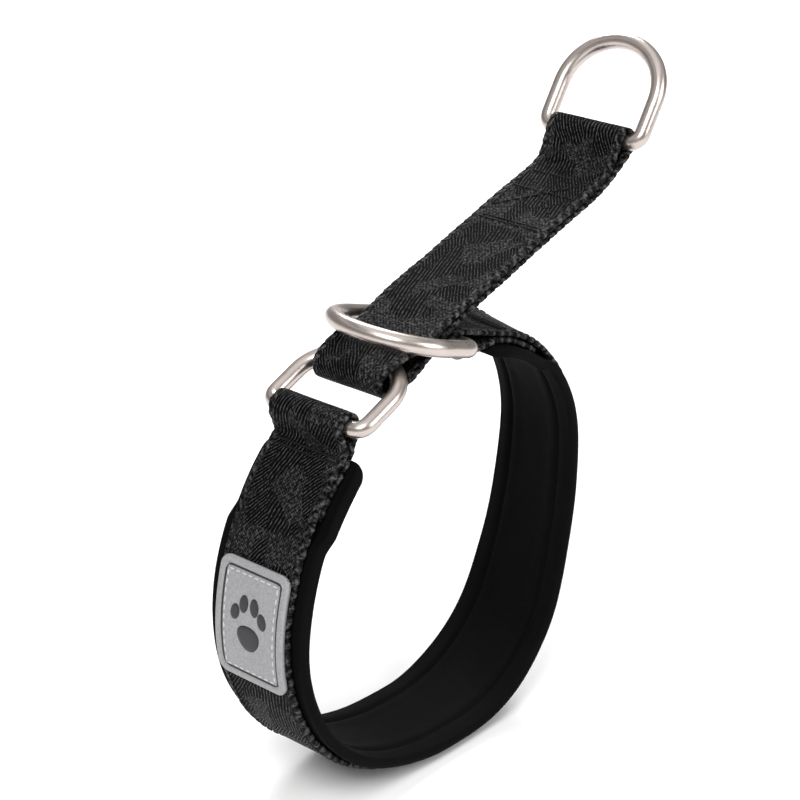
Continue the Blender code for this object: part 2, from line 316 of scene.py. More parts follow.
def webbing_material(name="webbing_weave"):
    g = G(name)
    U, V = g.uv()
    wob = g.noise(g.vec(U, V), 0.22, 2.0)
    wob = g.math("MULTIPLY", g.math("SUBTRACT", wob, 0.5), 1.0)

    def ribs(angle, pitch):
        c, s = math.cos(math.radians(angle)), math.sin(math.radians(angle))
        d = g.math("ADD", g.math("MULTIPLY", V, c), g.math("MULTIPLY", U, s))
        d = g.math("ADD", d, wob)
        w = g.math("SINE", g.math("MULTIPLY", d, 2 * math.pi / pitch))
        return g.math("POWER", g.math("MULTIPLY_ADD", w, 0.5, 0.5), 1.9)

    # each rib is laid in short floats along its length
    rib_a, rib_b = ribs(-14.0, 1.02), ribs(-38.0, 0.80)
    zone = g.noise(g.vec(g.math("MULTIPLY", U, 0.075), g.math("MULTIPLY", V, 0.085), 3.1), 1.0, 1.5, 0.45, 0.6)
    pick = g.band(g.noise(g.vec(g.math("MULTIPLY", U, 0.06), g.math("MULTIPLY", V, 0.10), 9.7), 1.0, 1.0, 0.4, 0.3), 0.46, 0.50)
    rib = g.mix(pick, rib_a, rib_b)
    # the floats start and stop, so each rib is broken into short lengths
    floats = g.noise(g.vec(g.math("MULTIPLY", U, 0.9), g.math("MULTIPLY", V, 2.2), 12.0), 1.0, 2.5, 0.6)
    rib = g.math("MULTIPLY", rib, g.math("MULTIPLY_ADD", g.band(floats, 0.34, 0.62), 0.75, 0.35))
    # the ground between them is a grainy crepe of short picks
    su = g.math("SINE", g.math("ADD", g.math("MULTIPLY", U, 2 * math.pi / 0.92), g.math("MULTIPLY", wob, 4.0)))
    sv = g.math("SINE", g.math("ADD", g.math("MULTIPLY", V, 2 * math.pi / 1.02), g.math("MULTIPLY", U, 1.7)))
    crepe = g.math("MULTIPLY_ADD", g.math("MULTIPLY", su, sv), 0.5, 0.5)
    grain = g.noise(g.vec(U, V), 1.25, 3.0, 0.65)
    crepe = g.math("ADD", g.math("MULTIPLY", crepe, 0.45), g.math("MULTIPLY", g.band(grain, 0.36, 0.66), 0.6), clamp=True)
    ribbed = g.band(zone, 0.485, 0.515)
    body = g.mix(ribbed, crepe, rib)
    # selvedge: threads turn back round the edge
    av = g.math("ABSOLUTE", V)
    edge = g.band(g.math("ADD", av, g.math("MULTIPLY", wob, 0.8)), WEB_W / 2 - 2.6, WEB_W / 2 - 2.0)
    turn = g.math("SINE", g.math("ADD", g.math("MULTIPLY", U, 2 * math.pi / 3.25), g.math("ADD", g.math("MULTIPLY", av, 1.9), g.math("MULTIPLY", wob, 7.0))))
    knots = g.band(g.noise(g.vec(g.math("MULTIPLY", U, 1.25), g.math("MULTIPLY", V, 1.0), 6.0), 1.0, 2.5, 0.6, 0.4), 0.34, 0.66)
    sel = g.math("ADD", g.math("MULTIPLY", g.math("MULTIPLY_ADD", turn, 0.5, 0.5), 0.42), g.math("MULTIPLY", knots, 0.62), clamp=True)
    height = g.mix(edge, body, sel)
    fibre = g.noise(g.vec(g.math("MULTIPLY", U, 1.0), g.math("MULTIPLY", V, 1.0), 5.0), 5.5, 2.0, 0.6)
    height = g.math("ADD", height, g.math("MULTIPLY", fibre, 0.22))
    drift = g.noise(g.vec(U, V, 2.0), 0.12, 2.0)
    # base colour follows the weave height: rib and selvedge tops are painted lighter as a painted highlight, and the
    # low ground between them is painted near black as painted shade; the drift noise adds random tone
    tone = g.math("MULTIPLY", g.math("POWER", g.math("MAXIMUM", g.math("SUBTRACT", height, 0.12), 0.0), 2.5), g.math("MULTIPLY_ADD", drift, 1.5, 0.35))
    g.put(g.b.inputs["Base Color"], g.colour(tone, (0.0003, 0.0003, 0.0003), (0.088, 0.086, 0.088)))
    g.put(g.b.inputs["Roughness"], g.mix(height, 0.75, 0.40))
    g.principled(IOR=1.25, Specular_IOR_Level=0.15)
    g.bump(height, 0.00032, 1.0)
    return g.m


def lining_material():
    g = G("lining_neoprene")
    U, V = g.uv()
    knit_a = g.math("SINE", g.math("MULTIPLY", g.math("ADD", V, g.math("MULTIPLY", U, 0.5)), 2 * math.pi / 0.62))
    knit_b = g.math("SINE", g.math("MULTIPLY", g.math("SUBTRACT", V, g.math("MULTIPLY", U, 0.5)), 2 * math.pi / 0.62))
    knit = g.math("MULTIPLY_ADD", g.math("MULTIPLY", knit_a, knit_b), 0.5, 0.5)
    soft = g.noise(g.vec(U, V), 0.9, 4.0, 0.6)
    height = g.math("ADD", g.math("MULTIPLY", knit, 0.5), g.math("MULTIPLY", soft, 0.5))
    drift = g.noise(g.vec(U, V, 4.0), 0.09, 3.0, 0.6)
    tone = g.math("MULTIPLY", height, g.math("MULTIPLY_ADD", drift, 1.0, 0.4))
    g.put(g.b.inputs["Base Color"], g.colour(tone, (0.0010, 0.0010, 0.0011), (0.0052, 0.0051, 0.0054)))
    g.put(g.b.inputs["Roughness"], g.mix(soft, 0.72, 0.92))
    g.principled(IOR=1.2, Specular_IOR_Level=0.25)
    g.bump(height, 0.00007, 0.8)
    return g.m


def steel_material():
    g = G("satin_steel")
    U, V = g.uv()
    long = g.noise(g.vec(g.math("MULTIPLY", U, 0.35), g.math("MULTIPLY", V, 5.0)), 1.0, 4.0, 0.6)
    blot = g.noise(g.vec(U, V, 7.0), 0.22, 3.0, 0.55)
    g.put(g.b.inputs["Base Color"], g.colour(blot, (0.47, 0.415, 0.385), (0.60, 0.54, 0.505)))
    g.put(g.b.inputs["Roughness"], g.math("ADD", g.mix(long, 0.20, 0.30), g.math("MULTIPLY", blot, 0.08)))
    g.principled(Metallic=1.0)
    g.bump(long, 0.000012, 0.5)
    return g.m


def rubber_material(name, low, high, rough=0.55):
    g = G(name)
    p = g.object_mm()
    n = g.node("ShaderNodeTexNoise")
    g.put(n.inputs["Vector"], p)
    n.inputs["Scale"].default_value = 1.6
    n.inputs["Detail"].default_value = 4.0
    n.inputs["Roughness"].default_value = 0.7
    fine = n.outputs["Fac"]
    n2 = g.node("ShaderNodeTexNoise")
    g.put(n2.inputs["Vector"], p)
    n2.inputs["Scale"].default_value = 0.16
    n2.inputs["Detail"].default_value = 2.0
    f = g.math("ADD", g.math("MULTIPLY", g.band(fine, 0.35, 0.65), 0.6), g.math("MULTIPLY", n2.outputs["Fac"], 0.4))
    g.put(g.b.inputs["Base Color"], g.colour(f, low, high))
    g.put(g.b.inputs["Roughness"], g.mix(fine, rough - 0.08, rough + 0.12))
    g.principled(Specular_IOR_Level=0.4)
    g.bump(fine, 0.00004, 0.6)
    return g.m


def thread_material(name, low, high):
    g = G(name)
    p = g.object_mm()
    n = g.node("ShaderNodeTexNoise")
    g.put(n.inputs["Vector"], p)
    n.inputs["Scale"].default_value = 3.2
    n.inputs["Detail"].default_value = 3.0
    w = g.node("ShaderNodeTexWave", wave_type="BANDS", bands_direction="DIAGONAL")
    g.put(w.inputs["Vector"], p)
    w.inputs["Scale"].default_value = 1.1
    w.inputs["Distortion"].default_value = 1.5
    f = g.math("ADD", g.math("MULTIPLY", w.outputs["Fac"], 0.6), g.math("MULTIPLY", n.outputs["Fac"], 0.4))
    g.put(g.b.inputs["Base Color"], g.colour(f, low, high))
    g.put(g.b.inputs["Roughness"], g.mix(n.outputs["Fac"], 0.45, 0.7))
    g.principled(IOR=1.3, Specular_IOR_Level=0.4)
    g.bump(f, 0.00005, 0.8)
    return g.m


WEB = webbing_material()
PAD = lining_material()
STEEL = steel_material()
RUBBER = rubber_material("label_rubber", (0.228, 0.228, 0.236), (0.345, 0.345, 0.358))
RUBBER_RIM = rubber_material("label_rim_rubber", (0.32, 0.32, 0.33), (0.41, 0.41, 0.42), 0.5)
INK = rubber_material("label_inlay", (0.012, 0.012, 0.014), (0.035, 0.035, 0.038), 0.5)
THREAD = thread_material("black_thread", (0.0008, 0.0008, 0.0008), (0.012, 0.0118, 0.0122))
THREAD_LIGHT = thread_material("light_thread", (0.42, 0.42, 0.43), (0.72, 0.72, 0.73))

# ------------------------------------------------------------------ a woven strip
NY = 36


def woven_strip(name, line, closed, seed, pinch=(), thick=WEB_T, width=WEB_W, shape=None, step=0.55):
    """A strip of webbing that follows a line in the XZ plane: soft scalloped edges
    and slightly uneven lie."""
    Q, t = resample(line, step, closed)
    n = len(Q)
    if closed:
        T = np.roll(Q, -1, 0) - np.roll(Q, 1, 0)
    else:
        T = np.gradient(Q, axis=0)
    T /= np.linalg.norm(T, axis=1)[:, None]
    N = np.stack([-T[:, 1], T[:, 0]], 1)
    L = t[-1] + (step if closed else 0)
    period = L / round(L / 3.25)
    # cross-section: round the edges with a small radius
    e = 0.62
    ys, hs, vs = [], [], []
    for k in range(NY + 1):                      # face 1
        y = -(width / 2 - e) + (width - 2 * e) * k / NY
        ys.append(y); hs.append(0.5); vs.append(y)
    for a in (30, 60, 90, 120, 150):             # edge +
        ys.append(width / 2 - e + e * math.sin(math.radians(a))); hs.append(0.5 * math.cos(math.radians(a))); vs.append(width / 2 - e + e * min(a, 180 - a) / 90)
    for k in range(NY + 1):                      # face 2
        y = (width / 2 - e) - (width - 2 * e) * k / NY
        ys.append(y); hs.append(-0.5); vs.append(y)
    for a in (30, 60, 90, 120, 150):             # edge -
        ys.append(-(width / 2 - e) - e * math.sin(math.radians(a))); hs.append(-0.5 * math.cos(math.radians(a))); vs.append(-(width / 2 - e) - e * min(a, 180 - a) / 90)
    ys, hs, vs = map(np.array, (ys, hs, vs))
    m = len(ys)
    S = t[:, None]
    edge = np.clip((np.abs(ys) - (width / 2 - 3.0)) / 3.0, 0, 1)[None]
    side = np.sign(ys)[None]
    # scallops: the weft turns pull the selvedge in and out
    ph = 2 * math.pi * S / period + np.where(side > 0, 1.3 + seed, 0.2 * seed)
    scal = 0.33 * (np.abs(np.sin(ph / 2)) - 0.62) + 0.10 * np.sin(2 * math.pi * S / (period * 0.5) + 2.0 * seed)
    slow = 0.16 * np.sin(2 * math.pi * S / 41.0 + seed) + 0.10 * np.sin(2 * math.pi * S / 17.3 + 2.1 * seed)
    draw = np.zeros_like(S)
    for centre, reach, amount in pinch:
        gap = np.abs(S - centre)
        if closed:
            gap = np.minimum(gap, L - gap)
        draw = draw + amount * np.exp(-(gap / reach) ** 2)
    Y = (ys[None] + side * edge ** 1.5 * (scal - 0.34) + edge * slow * 0.6) * (1 - draw)
    # thickness: thinner at the very edge, and the selvedge rope swells with each scallop
    th = thick * (0.93 + 0.05 * np.sin(ph) * edge - 0.10 * edge ** 3)
    lie = 0.10 * np.sin(2 * math.pi * S / 23.0 + ys[None] * 0.13 + seed) + 0.06 * np.sin(2 * math.pi * S / 9.1 + ys[None] * 0.31)
    H = hs[None] * th + lie * 0.35
    if shape is not None:
        Y, H = shape(t, Y, H)
    X = Q[:, None, 0] + N[:, None, 0] * H
    Z = Q[:, None, 1] + N[:, None, 1] * H
    V = np.stack([X, Y + 0 * X, Z], -1).reshape(-1, 3)
    faces = []
    last = n if closed else n - 1
    for i in range(last):
        j = (i + 1) % n
        for k in range(m):
            l = (k + 1) % m
            faces.append((i * m + k, j * m + k, j * m + l, i * m + l))
    if not closed:
        faces.append(tuple(range(m)))
        faces.append(tuple(range((n - 1) * m, n * m))[::-1])
    # which way round: outward
    uv = np.stack([np.repeat(t[:, None], m, 1), np.repeat(vs[None], n, 0)], -1).reshape(-1, 2) / 100.0
    return V, faces, uv


def finish_strip(name, V, faces, uv, mat):
    ob = new_object(name, V, faces, mat, uv)
    bm = bmesh.new()
    bm.from_mesh(ob.data)
    bmesh.ops.recalc_face_normals(bm, faces=bm.faces)
    bm.to_mesh(ob.data)
    bm.free()
    ob.data.shade_smooth()
    return ob


H_WEB = GAP / 2 + WEB_T / 2
H_FOLD = H_WEB - WEB_T - GAP
R_LOOP = WIRE_R + GAP + WEB_T / 2 + 0.1


def run(a, b, h, pitch=1.0):
    n = max(2, int(abs(b - a) / pitch))
    return [off(a + (b - a) * i / n, h(a + (b - a) * i / n) if callable(h) else h) for i in range(n + 1)]


back = run(PAD_LEFT + FOLD, PAD_LEFT, H_FOLD)
front = run(PAD_LEFT, PAD_RIGHT, H_WEB)
tail = run(PAD_RIGHT, PAD_RIGHT - FOLD, H_FOLD)
line = (back + wrap(back[-1], JOIN_RING["bar"], R_LOOP, front[0], 1) + front
        + wrap(front[-1], SLIP_RING["bar"], R_LOOP, tail[0], 1) + tail)
Q, _ = resample(line, 0.5)
Q = gauss(Q, 2.2)
V, F, UV = woven_strip("collar_webbing", Q, False, 0.7, ((FOLD + 8.0, 9.0, 0.055),))
collar_webbing = finish_strip("collar_webbing", lean(V), F, UV, WEB)

# ------------------------------------------------------------------ the padded lining
PAD_END_R = PAD_RIGHT + 3.5
GROOVE = 9.9


def lining():
    step = 0.9
    n = int((PAD_END_R - PAD_LEFT) / step)
    ss = np.linspace(PAD_LEFT, PAD_END_R, n + 1)
    # finer at both ends so the corners come out round
    extra = np.array([0.15, 0.4, 0.8, 1.3, 2.0, 3.0, 4.2])
    ss = np.unique(np.round(np.concatenate([ss, PAD_LEFT + extra, PAD_END_R - extra]), 4))
    W2, R = PAD_W / 2, 5.0
    ny = 64
    V, UV = [], []
    rows = []
    for s in ss:
        d = min(s - PAD_LEFT, PAD_END_R - s)
        w = W2 - R + math.sqrt(max(R * R - max(R - d, 0) ** 2, 0)) if d < R else W2
        cap = math.sqrt(max(1 - max(1.3 - d, 0) ** 2 / 1.69, 0.0)) if d < 1.3 else 1.0
        cap = max(cap, 0.12)
        w -= 0.35 * (1 + math.sin(s * 0.21)) * 0.25
        p, tn, nr = spine(float(s))
        ho = pad_outer(float(s))
        rings = []
        us = [math.sin(math.pi * (k / ny - 0.5)) * 0.35 + (2 * k / ny - 1) * 0.65 for k in range(ny + 1)]
        for face in (0, 1):
            seq = us if face == 0 else us[::-1]
            for u in seq[:-1]:
                y = u * w
                e = w - abs(y)
                rnd = math.sqrt(max(1 - max(1.35 - e, 0) ** 2 / 1.35 ** 2, 0.0)) if e < 1.35 else 1.0
                half = PAD_T / 2 * rnd * cap
                lift = 0.0
                if face == 1:                       # inner face: sewn channels and soft swell
                    g = min(abs(abs(y) - GROOVE), 9.0)
                    ge = 99.0
                    if d < 14:
                        ge = abs(d - 6.3)
                        if abs(y) > GROOVE - 0.01 and d > 0:
                            ge = 99.0 if abs(y) > GROOVE + 0.3 else ge
                        if d < 6.3:
                            g = 9.0
                    # rounded corner of the sewn line
                    if abs(y) > GROOVE - 3 and d < 9.3:
                        cy, cd = abs(y) - (GROOVE - 3), 9.3 - d
                        if cy > 0 and cd > 0:
                            ring_d = abs(math.hypot(cy, cd) - 3.0)
                            g, ge = ring_d, 99.0
                    q = min(g, ge)
                    lift -= 0.85 * math.exp(-(q / 0.62) ** 2)
                    lift += 0.34 * math.exp(-((q - 2.2) / 1.7) ** 2)
                    lift += 0.10 * noise.noise(Vector((s * 0.11, y * 0.13, 3.0))) + 0.05 * noise.noise(Vector((s * 0.42, y * 0.2, 8.0)))
                    lift += 0.18 * (1 - (y / w) ** 2)
                    lift *= rnd * cap
                    h = ho - PAD_T / 2 - half - lift * 0.9
                else:
                    lift = 0.06 * noise.noise(Vector((s * 0.2, y * 0.2, 1.0)))
                    e2 = 0.35 * math.exp(-((abs(y) - 15.0) / 1.5) ** 2)
                    h = ho - PAD_T / 2 + half + min(lift, 0.0) + (e2 if abs(y) > 13.4 else 0.0) * rnd
                rings.append((p[0] + nr[0] * h, y, p[1] + nr[1] * h))
                UV.append((s / 100.0, (y if face else y + 40) / 100.0))
        rows.append(rings)
        V += rings
    m = len(rows[0])
    F = []
    for i in range(len(rows) - 1):
        for k in range(m):
            l = (k + 1) % m
            F.append((i * m + k, (i + 1) * m + k, (i + 1) * m + l, i * m + l))
    half = m // 2
    for base in (0, (len(rows) - 1) * m):
        for k in range(half - 1):
            F.append((base + k, base + k + 1, base + m - 1 - k - 1, base + m - 1 - k) if k < half - 1 else ())
    # close the two ends exactly
    F = [f for f in F if len(f) == 4]
    return np.array(V), F, np.array(UV)


V, F, UV = lining()
collar_lining = new_object("collar_lining", lean(V), F, PAD, UV)
bm = bmesh.new()
bm.from_mesh(collar_lining.data)
bmesh.ops.remove_doubles(bm, verts=bm.verts, dist=1e-6)
bmesh.ops.holes_fill(bm, edges=bm.edges, sides=0)
bmesh.ops.recalc_face_normals(bm, faces=bm.faces)
bm.to_mesh(collar_lining.data)
bm.free()
collar_lining.data.shade_smooth()

# ------------------------------------------------------------------ the control strap
PLY = (WEB_T + GAP) / 2
tilt = math.radians(STRAP_TILT)
sd = np.array((math.cos(tilt), math.sin(tilt)))
sn = np.array((-sd[1], sd[0]))
low = np.array(STRAP_LOW)
top = low + sd * STRAP_RUN
leash_bar = np.array(LEASH_RING["bar"])
ja = math.radians(JOIN_RING["angle"])
jd, jn = np.array((math.cos(ja), math.sin(ja))), np.array((-math.sin(ja), math.cos(ja)))
apex = np.array(JOIN_RING["bar"]) + jd * JOIN_RING["depth"]
fold_c = np.array(JOIN_RING["bar"]) + jd * 15.8
R_FOLD = WIRE_R + GAP + WEB_T / 2 + 0.2
press = apex + jn * (R_FOLD - 0.35) + np.array((7.0, 0.7))
upper = [apex + jn * (R_FOLD - 0.15), press, low + sn * PLY] + [low + sd * k + sn * PLY for k in (20.0, 40.0, STRAP_RUN)]
kd = (leash_bar - top) / np.linalg.norm(leash_bar - top)
knee = sd + kd * 0.9
knee /= np.linalg.norm(knee)
kn = np.array((-knee[1], knee[0]))
upper.append(top + sd * 1.5 + knee * 4.0 + kn * PLY)
lower = [top + sd * 1.5 + knee * 4.0 - kn * PLY] + [low + sd * k - sn * PLY for k in (STRAP_RUN, 40.0, 20.0, 0.0)] + [apex - jn * (R_FOLD + 0.2)]
bottom_turn = wrap(lower[-1], fold_c, R_FOLD, upper[0], -1)
top_turn = wrap(upper[-1], leash_bar, R_LOOP, lower[0], -1)
line = bottom_turn[20:] + upper + top_turn + lower + bottom_turn[:20]
Q, _ = resample(line, 0.5, True)
Q = gauss(Q, 2.6, True)
V, F, UV = woven_strip("control_strap_webbing", Q, True, 2.9, ((0.0, 8.0, 0.085), (STRAP_RUN + 34.0, 7.0, 0.03)))
control_strap = finish_strip("control_strap_webbing", V, F, UV, WEB)


def strap_point(along, h, y):
    q = low + sd * along + sn * h
    return np.array((q[0], y, q[1]))


# ------------------------------------------------------------------ the rings
def ring_mesh(name, spec, seed, wire=WIRE_R):
    width, leg, depth = spec["width"], spec["leg"], spec["depth"]
    corner = 2.6
    pts = []
    for k in range(13):
        a = math.radians(90 * k / 12)
        pts.append((-width + corner - corner * math.sin(a), corner - corner * math.cos(a)))
    pts.append((-width, leg))
    for k in range(1, 72):
        a = math.pi * k / 72
        pts.append((-width * math.cos(a), leg + (depth - leg) * math.sin(a)))
    pts.append((width, leg))
    for k in range(13):
        a = math.radians(90 * (12 - k) / 12)
        pts.append((width - corner + corner * math.sin(a), corner - corner * math.cos(a)))
    P, t = resample(pts, 0.5, True)
    P = gauss(P, 1.6, True)
    n = len(P)
    T = np.roll(P, -1, 0) - np.roll(P, 1, 0)
    T /= np.linalg.norm(T, axis=1)[:, None]
    N = np.stack([-T[:, 1], T[:, 0]], 1)
    m = 28
    V, UV = [], []
    for i in range(n):
        # the weld sits in the middle of the bar, a low uneven collar of metal
        on_bar = P[i, 1] < 0.6
        wd = math.exp(-(P[i, 0] / 1.1) ** 2) if on_bar else 0.0
        for k in range(m):
            a = 2 * math.pi * k / m
            r = wire + wd * (0.10 + 0.05 * math.sin(3 * a + seed)) + 0.012 * noise.noise(Vector((t[i] * 0.12, math.cos(a), math.sin(a) + seed)))
            c = P[i] + N[i] * r * math.cos(a)
            V.append((c[1], c[0], r * math.sin(a)))          # depth, width, normal
            UV.append((t[i] / 100.0, a * WIRE_R / 100.0))
    F = []
    for i in range(n):
        j = (i + 1) % n
        for k in range(m):
            l = (k + 1) % m
            F.append((i * m + k, j * m + k, j * m + l, i * m + l))
    x, z = spec["bar"]
    M = (Matrix.Translation((x, 0, z)) @ Matrix.Rotation(-math.radians(spec["angle"]), 4, "Y")
         @ Matrix.Rotation(math.radians(spec["roll"]), 4, "X"))
    W = [tuple(M @ Vector(v)) for v in V]
    return finish_strip(name, W, F, np.array(UV), STEEL)


join_ring = ring_mesh("joining_ring_wire", JOIN_RING, 0.3)
slip_ring = ring_mesh("slip_ring_wire", SLIP_RING, 1.7, WIRE_R + 0.12)
leash_ring = ring_mesh("leash_ring_wire", LEASH_RING, 2.6)


# ------------------------------------------------------------------ stitches
def stitches(name, spots, mat, radius=0.24):
    """spots: (start, end) pairs in mm, each one a plump stitch with its ends tucked in."""
    V, F = [], []
    m, rings = 7, 7
    for a, b in spots:
        a, b = np.array(a, float), np.array(b, float)
        d = b - a
        L = np.linalg.norm(d)
        d /= L
        ref = np.array((0, 1.0, 0)) if abs(d[1]) < 0.9 else np.array((1.0, 0, 0))
        x = np.cross(d, ref); x /= np.linalg.norm(x)
        y = np.cross(d, x)
        base = len(V)
        for i in range(rings):
            u = i / (rings - 1)
            r = radius * (0.25 + 0.75 * math.sin(math.pi * (0.08 + 0.84 * u)) ** 0.6)
            c = a + d * L * u
            for k in range(m):
                q = 2 * math.pi * k / m
                V.append(c + (x * math.cos(q) + y * math.sin(q)) * r)
        for i in range(rings - 1):
            for k in range(m):
                l = (k + 1) % m
                F.append((base + i * m + k, base + i * m + l, base + (i + 1) * m + l, base + (i + 1) * m + k))
        F.append(tuple(base + k for k in range(m))[::-1])
        F.append(tuple(base + (rings - 1) * m + k for k in range(m)))
    ob = new_object(name, np.array(V), F, mat)
    return ob


H_TOP = H_WEB + WEB_T / 2


def band_row(a, b, y, pitch=2.9, length=2.25, h=None):
    out = []
    n = int(abs(b - a) / pitch)
    hh = H_TOP + 0.02 if h is None else h
    for i in range(n):
        s = a + (b - a) * (i + 0.5) / n
        p = band_point(s - length / 2, hh, y)
        q = band_point(s + length / 2, hh, y)
        out.append((p, q))
    return out


def band_cross(s, y0, y1, pitch=2.6, length=2.0, h=None):
    out = []
    n = max(1, int(abs(y1 - y0) / pitch))
    hh = H_TOP + 0.02 if h is None else h
    for i in range(n):
        y = y0 + (y1 - y0) * (i + 0.5) / n
        out.append((band_point(s, hh, y - length / 2), band_point(s, hh, y + length / 2)))
    return out


rows = []
for y in (-10.3, 10.3):
    rows += band_row(PAD_LEFT + 6.0, PAD_RIGHT - 6.0, y)
edge_stitching = stitches("edge_stitching_threads", rows, THREAD)
left_tack = stitches("left_loop_bartack_threads",
                     [q for ds in (2.2, 3.6) for q in band_cross(PAD_LEFT + ds, -10.2, 10.2, 1.7, 1.9)], THREAD, 0.26)
right_tack = stitches("right_loop_bartack_threads",
                      [q for ds in (1.6, 2.9, 4.2) for q in band_cross(PAD_RIGHT - ds, -10.2, 10.2, 1.7, 1.9)], THREAD, 0.26)


def lining_rows():
    out = []
    a, b = PAD_LEFT + 9.3, PAD_END_R - 9.3
    n = int((b - a) / 3.0)
    for y in (-GROOVE, GROOVE):
        for i in range(n):
            s = a + (b - a) * (i + 0.5) / n
            h = pad_outer(s) - PAD_T + 0.72
            out.append((band_point(s - 1.1, h, y), band_point(s + 1.1, h, y)))
    for s in (PAD_LEFT + 6.3, PAD_END_R - 6.3):
        for i in range(5):
            y = -5.2 + 2.6 * i
            h = pad_outer(s) - PAD_T + 0.72
            out.append((band_point(s, h, y - 1.0), band_point(s, h, y + 1.0)))
    return out


lining_stitching = stitches("lining_stitching_threads", lining_rows(), THREAD, 0.22)


def strap_cross(at, y0, y1, pitch=1.8, length=1.7):
    hh = PLY + WEB_T / 2 + 0.03
    out = []
    n = int((y1 - y0) / pitch)
    for i in range(n):
        y = y0 + (y1 - y0) * (i + 0.5) / n
        out.append((strap_point(at, hh, y - length / 2), strap_point(at + 0.15, hh, y + length / 2)))
    return out


def strap_rows(spec):
    out = []
    hh = PLY + WEB_T / 2 + 0.03
    for (a0, y0), (a1, y1) in spec:
        L = math.hypot(a1 - a0, y1 - y0)
        n = max(1, int(L / 2.5))
        for i in range(n):
            u0, u1 = (i + 0.12) / n, (i + 0.88) / n
            out.append((strap_point(a0 + (a1 - a0) * u0, hh, y0 + (y1 - y0) * u0),
                        strap_point(a0 + (a1 - a0) * u1, hh, y0 + (y1 - y0) * u1)))
    return out


strap_low_tack = stitches("strap_lower_bartack_threads",
                          strap_cross(35.5, -9.8, 9.8) + strap_cross(36.6, -9.0, 9.0), THREAD, 0.25)
strap_top_tack = stitches("strap_upper_bartack_threads",
                          strap_rows([((41.0, -9.8), (58.0, -9.8)), ((41.0, 9.8), (58.0, 9.8)), ((58.0, -9.8), (58.0, 9.8)),
                                      ((41.0, -9.8), (58.0, 9.8)), ((41.0, 9.8), (58.0, -9.8))])
                          + strap_cross(50.5, -9.8, 9.8), THREAD, 0.25)

# ------------------------------------------------------------------ the label
h0 = H_WEB + WEB_T / 2 + 0.12
s_mid = (LABEL_S[0] + LABEL_S[1]) / 2
HU, HW = (LABEL_S[1] - LABEL_S[0]) / 2, LABEL_W / 2


def on_label(u, w, h):
    """u up the band from the label's middle, w across it, h above the webbing."""
    q = off(s_mid - u, h0 + h)
    return (q[0], w, q[1])


def rect_distance(u, w, hu, hw, r):
    """Distance inside a rounded rectangle's edge; negative outside."""
    du, dw = abs(u) - (hu - r), abs(w) - (hw - r)
    outside = math.hypot(max(du, 0), max(dw, 0)) + min(max(du, dw), 0)
    return r - outside


def plate(name, hu, hw, r, height, under, mat, grid=0.32):
    """A moulded plate with round corners; height(distance from edge, u, w) is its face."""
    nu, nw = int(2 * hu / grid), int(2 * hw / grid)
    V, F, UV = [], [], []
    idx = {}

    def place(u, w):
        # pull the corner points of the grid in onto the rounded outline
        d = rect_distance(u, w, hu, hw, r)
        if d < 0:
            cu, cw = math.copysign(max(abs(u) - (hu - r), 0), u), math.copysign(max(abs(w) - (hw - r), 0), w)
            L = math.hypot(cu, cw)
            return u - cu + cu * r / L, w - cw + cw * r / L
        return u, w

    for side in (0, 1):
        for i in range(nu + 1):
            for j in range(nw + 1):
                u, w = place(-hu + 2 * hu * i / nu, -hw + 2 * hw * j / nw)
                d = max(rect_distance(u, w, hu, hw, r), 0.0)
                idx[side, i, j] = len(V)
                V.append(on_label(u, w, height(d, u, w) if side == 0 else under))
                UV.append((u / 100, w / 100))
    for i in range(nu):
        for j in range(nw):
            F.append((idx[0, i, j], idx[0, i + 1, j], idx[0, i + 1, j + 1], idx[0, i, j + 1]))
            F.append((idx[1, i, j], idx[1, i, j + 1], idx[1, i + 1, j + 1], idx[1, i + 1, j]))
    rim = [(i, 0) for i in range(nu)] + [(nu, j) for j in range(nw)] + [(i, nw) for i in range(nu, 0, -1)] + [(0, j) for j in range(nw, 0, -1)]
    for (a, b), (c, e) in zip(rim, rim[1:] + rim[:1]):
        F.append((idx[0, a, b], idx[1, a, b], idx[1, c, e], idx[0, c, e]))
    ob = new_object(name, np.array(V), F, mat, np.array(UV))
    bm = bmesh.new()
    bm.from_mesh(ob.data)
    bmesh.ops.remove_doubles(bm, verts=bm.verts, dist=2e-6)
    bmesh.ops.dissolve_degenerate(bm, edges=bm.edges, dist=1e-6)
    bmesh.ops.recalc_face_normals(bm, faces=bm.faces)
    bm.to_mesh(ob.data)
    bm.free()
    ob.data.shade_smooth()
    return ob


def label_face(d, u, w):
    edge = 0.35 * (1 - math.sqrt(max(1 - max(0.45 - d, 0) ** 2 / 0.2025, 0)))
    rim = 1.28 - edge
    inner = 1.02
    k = float(smooth01((d - 1.75) / 0.3))
    groove = 0.32 * math.exp(-((d - 2.1) / 0.30) ** 4)
    return rim * (1 - k) + inner * k - groove


label_base = plate("label_plate", HU, HW, 3.0, label_face, 0.02, RUBBER)


